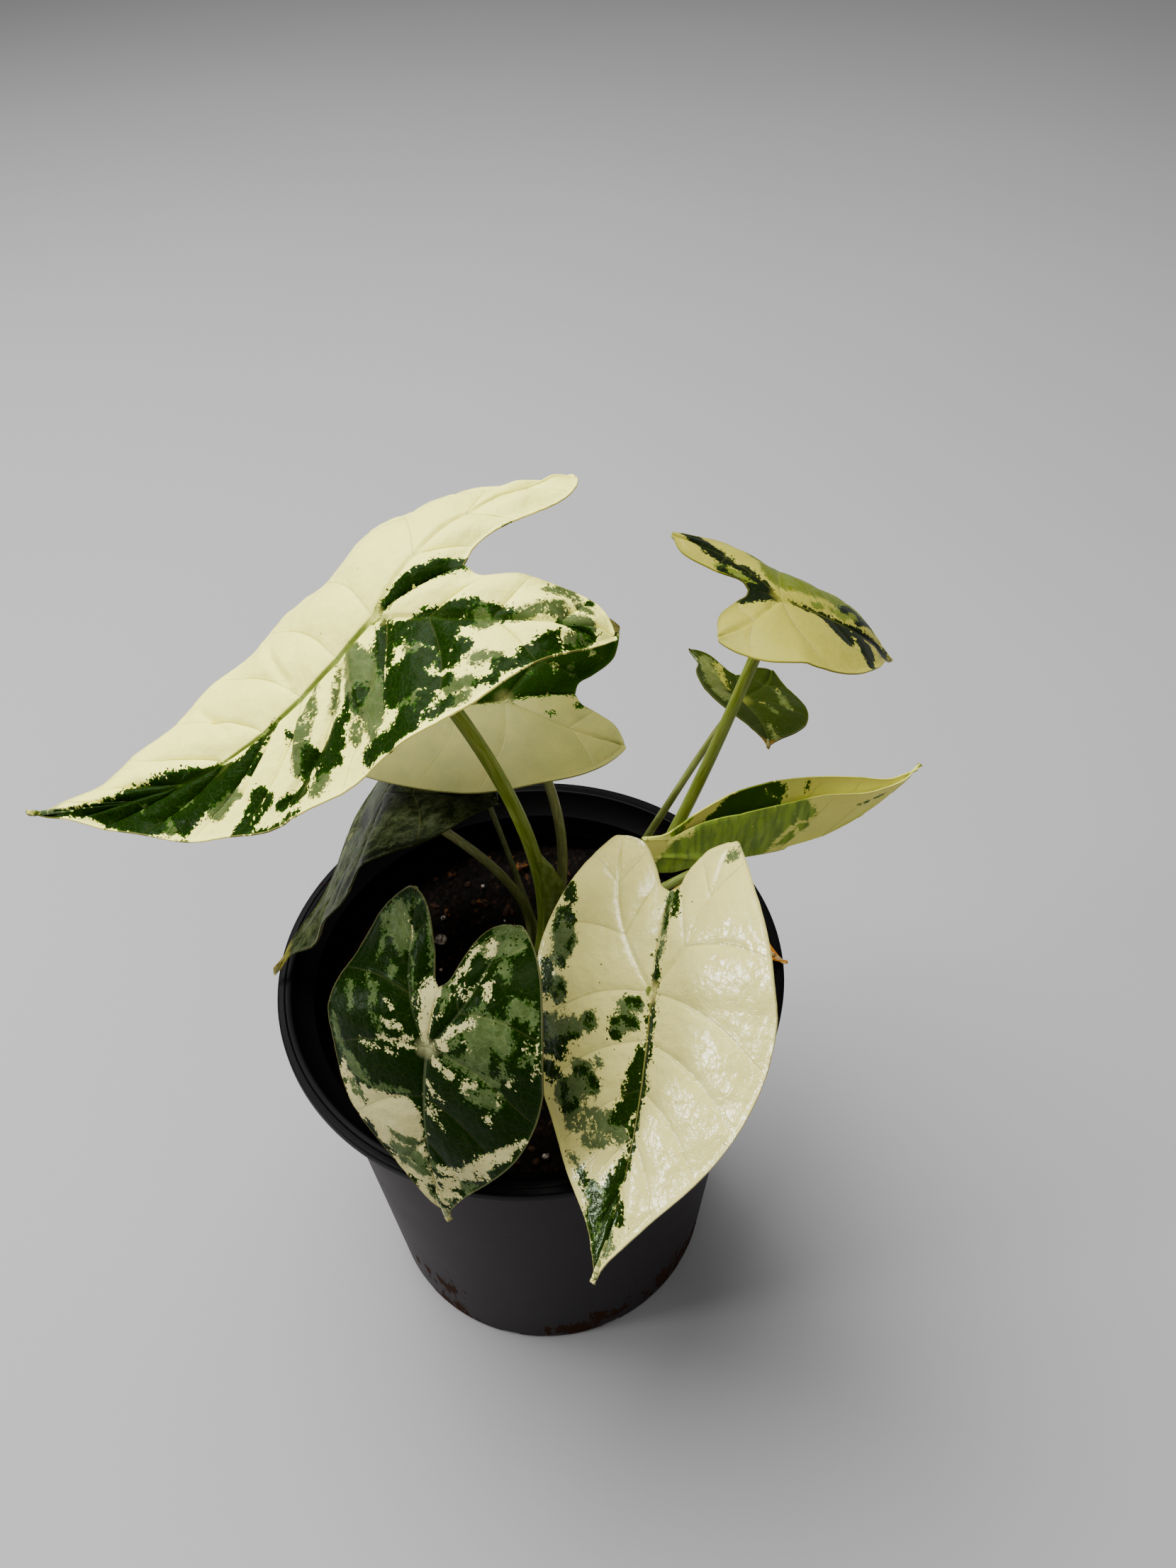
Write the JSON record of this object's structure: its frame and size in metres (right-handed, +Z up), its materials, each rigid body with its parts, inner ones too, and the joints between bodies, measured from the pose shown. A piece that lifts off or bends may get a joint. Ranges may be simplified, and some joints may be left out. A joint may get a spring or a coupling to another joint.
{
  "type": "potted variegated alocasia",
  "caption": "Potted velvet-leaved alocasia with arrow-shaped cream and green marbled leaves on bare stalks, standing in a plain black nursery pot of soil.",
  "frame": {"origin": "middle of the pot's underside, on the plane that it stands on", "axes": "+Z up along the pot's axis; -Y towards the front of the plant, where the two drooping front leaves hang; +X to the right seen from the front"},
  "size_m": [0.2415, 0.1761, 0.2866],
  "materials": {
    "pot_plastic": "satin",
    "potting_soil": "matte",
    "leaf_cream": "satin",
    "leaf_green": "satin",
    "leaf_lime": "satin",
    "leaf_stalk": "satin"
  },
  "bodies": {
    "root": {"pot": "pot_plastic", "soil": "potting_soil", "blade_large": "leaf_cream", "blade_shaded": "leaf_cream", "blade_draped": "leaf_green", "blade_front_left": "leaf_green", "blade_front_right": "leaf_cream", "blade_rolled": "leaf_lime", "blade_high": "leaf_lime", "blade_small": "leaf_green", "blade_old": "leaf_lime", "blade_rear": "leaf_green", "stem_large": "leaf_stalk", "stem_shaded": "leaf_stalk", "stem_draped": "leaf_stalk", "stem_front_left": "leaf_stalk", "stem_front_right": "leaf_stalk", "stem_rolled": "leaf_stalk", "stem_high": "leaf_stalk", "stem_small": "leaf_stalk", "stem_old": "leaf_stalk", "stem_rear": "leaf_stalk"}
  },
  "joints": []
}
